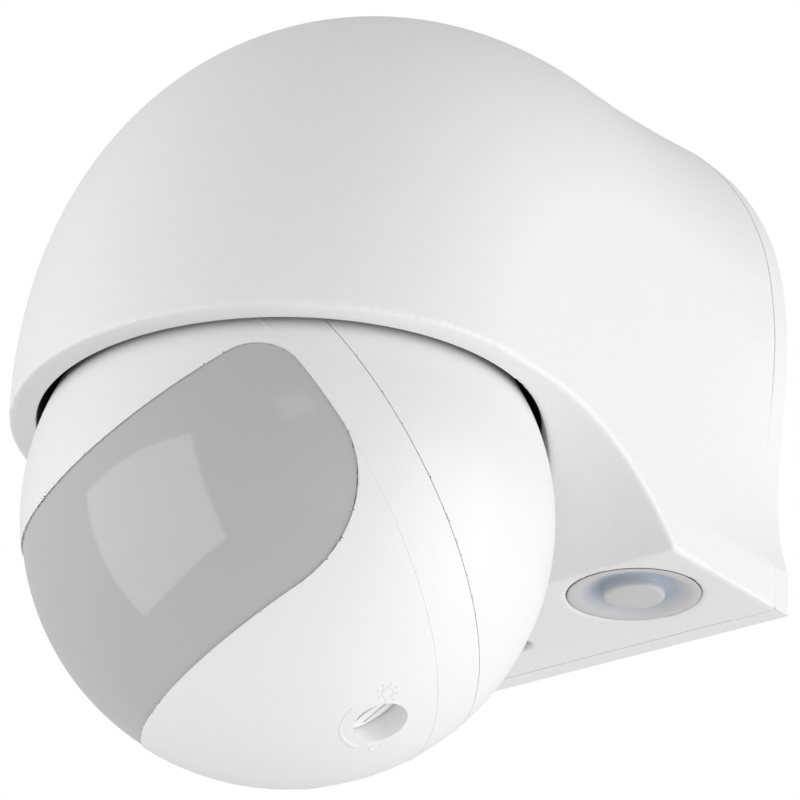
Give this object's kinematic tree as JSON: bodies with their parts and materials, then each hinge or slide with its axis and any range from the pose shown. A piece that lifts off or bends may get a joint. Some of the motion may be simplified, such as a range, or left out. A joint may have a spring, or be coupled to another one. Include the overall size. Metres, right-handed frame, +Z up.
{
  "type": "motion sensor",
  "caption": "Wall-mounted infrared motion sensor: hooded housing whose ball head pans and tilts in a socket, with a curved lens and recessed adjusters under the head.",
  "frame": {"origin": "on the wall face, on the centreline, midway between the upper and lower wall screw holes", "axes": "+X to the right seen from in front, the front looks along -Y, +Y into the wall, +Z up"},
  "size_m": [0.0788, 0.1025, 0.1206],
  "materials": {
    "white": "satin moulded ABS, very fine texture",
    "head_white": "smooth satin moulded ABS",
    "lens": "milky grey translucent polyethylene, smooth outside",
    "seal_grey": "soft blue-grey rubber",
    "seal_dark": "black foam rubber",
    "inner_plastic": "matt black polyamide",
    "bush_plastic": "natural acetal",
    "board": "green glass-epoxy board",
    "terminal": "grey polyamide",
    "steel": "zinc-plated steel",
    "relay_case": "dark blue polyester",
    "film_case": "yellow polyester",
    "can": "drawn can",
    "ceramic": "blue epoxy coating",
    "glass": "clear glass tube",
    "connector": "off-white nylon",
    "sensor_can": "nickel-plated can",
    "clear_resin": "clear epoxy",
    "red_resin": "tinted red epoxy",
    "adjuster": "blue thermoset",
    "knob": "satin white polyamide"
  },
  "bodies": {
    "housing": {"wall_plate": "white", "gasket": "seal_dark", "hood_cover": "white", "cable_grommet": "seal_grey", "blank_grommet": "seal_grey", "cover_screw": "steel", "terminal_block": "terminal", "terminal_screws": "steel", "power_board": "board", "board_screws": "steel", "relay": "relay_case", "film_capacitor": "film_case", "smoothing_capacitor": "can", "varistor": "ceramic", "fuse": "glass", "head_connector": "connector", "swivel_bushing": "bush_plastic", "wave_washer": "steel"},
    "swivel": {"swivel_yoke": "inner_plastic", "tilt_pins": "steel", "retaining_ring": "steel"},
    "head": {"head_front_shell": "head_white", "head_rear_shell": "head_white", "fresnel_lens": "lens", "head_screws": "steel", "head_frame": "inner_plastic", "sensor_board": "board", "infrared_sensor": "sensor_can", "light_sensor": "clear_resin", "status_lamp": "red_resin", "adjuster_board": "board", "lux_adjuster": "adjuster", "time_adjuster": "adjuster"},
    "lux_control": {"lux_knob": "knob"},
    "time_control": {"time_knob": "knob"}
  },
  "joints": [
    {"name": "head_pan", "type": "hinge", "parent": "housing", "child": "swivel", "pos_m": [0, -0.0654, -0.0391], "axis": [0, 0, 1], "range_deg": [-49.3, 130.7]},
    {"name": "head_tilt", "type": "hinge", "parent": "swivel", "child": "head", "pos_m": [0, -0.0654, -0.0391], "axis": [0.7581, -0.6521, 0], "range_deg": [-10, 45]},
    {"name": "lux_turn", "type": "hinge", "parent": "head", "child": "lux_control", "pos_m": [0.01379, -0.06685, -0.06743], "axis": [0.359, 0.4173, -0.8348], "range_deg": [-135, 135]},
    {"name": "time_turn", "type": "hinge", "parent": "head", "child": "time_control", "pos_m": [-0.00349, -0.05198, -0.06743], "axis": [0.359, 0.4173, -0.8348], "range_deg": [-135, 135]}
  ]
}
